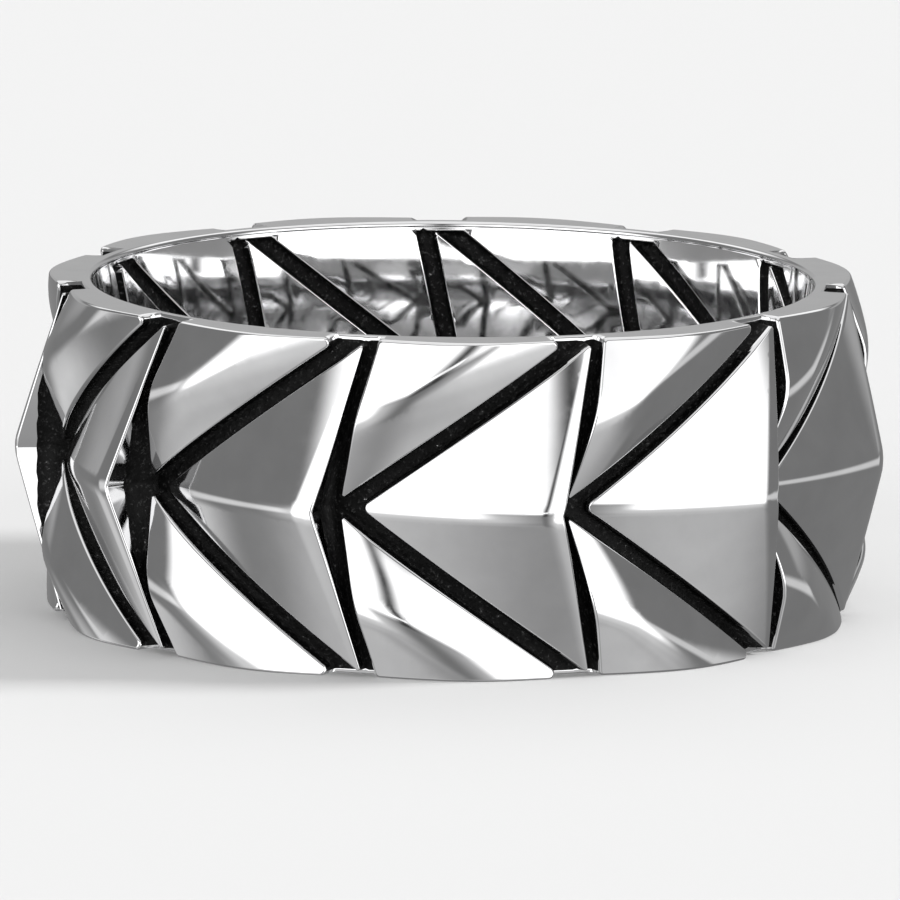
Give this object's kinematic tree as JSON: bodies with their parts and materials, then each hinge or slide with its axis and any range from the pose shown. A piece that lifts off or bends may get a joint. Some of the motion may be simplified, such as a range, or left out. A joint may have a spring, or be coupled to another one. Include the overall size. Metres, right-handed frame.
{
  "type": "chevron ring",
  "caption": "Wide man's band ring with raised faceted arrowheads chasing round it between raised wings, sunk blackened channels and a comfort-fit finger hole.",
  "frame": {"origin": "the centre of the finger hole, at the middle of the band's width", "axes": "+Z along the finger hole's axis, upright when the ring lies on its side; -Y towards the pictured side, where the arrowheads point to -X"},
  "size_m": [0.0234, 0.0233, 0.009],
  "materials": {
    "silver": "mirror-polished sterling silver with softly rounded facet edges",
    "blackening": "blackened silver in the channels, with the granular surface of the casting"
  },
  "bodies": {
    "root": {"band": "silver"}
  },
  "joints": []
}
